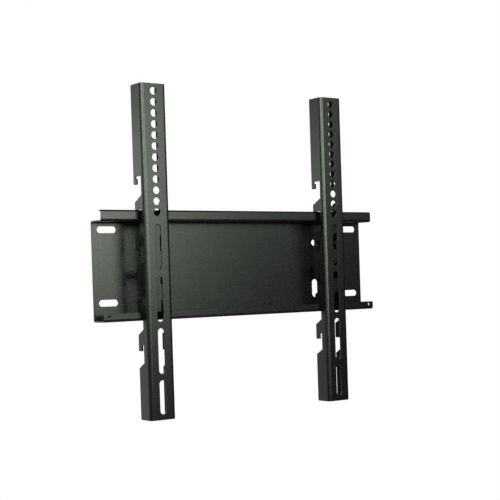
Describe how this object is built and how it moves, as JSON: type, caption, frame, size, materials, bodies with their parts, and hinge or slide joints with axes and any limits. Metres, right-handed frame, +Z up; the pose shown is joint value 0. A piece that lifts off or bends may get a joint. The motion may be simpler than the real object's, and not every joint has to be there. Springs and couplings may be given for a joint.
{
  "type": "tv wall mount",
  "caption": "Fixed wall mount for a flat screen: a folded steel wall plate with a rail along its top and bottom edges, and hooked channel arms that hang on the rails and slide along them.",
  "frame": {"origin": "centre of the four wall slots, on the back face of the wall plate", "axes": "+X to the right along the rails, +Y into the wall, +Z up"},
  "size_m": [0.458, 0.0432, 0.44],
  "materials": {
    "powder_coat": "satin"
  },
  "bodies": {
    "wall_plate": {"wall_plate": "powder_coat"},
    "left_arm": {"left_arm": "powder_coat"},
    "right_arm": {"right_arm": "powder_coat"}
  },
  "joints": [
    {"name": "left_arm_slide", "type": "slide", "parent": "wall_plate", "child": "left_arm", "axis": [1, 0, 0], "range_m": [-0.055, 0.104]},
    {"name": "right_arm_slide", "type": "slide", "parent": "wall_plate", "child": "right_arm", "axis": [1, 0, 0], "range_m": [-0.096, 0.062]}
  ]
}
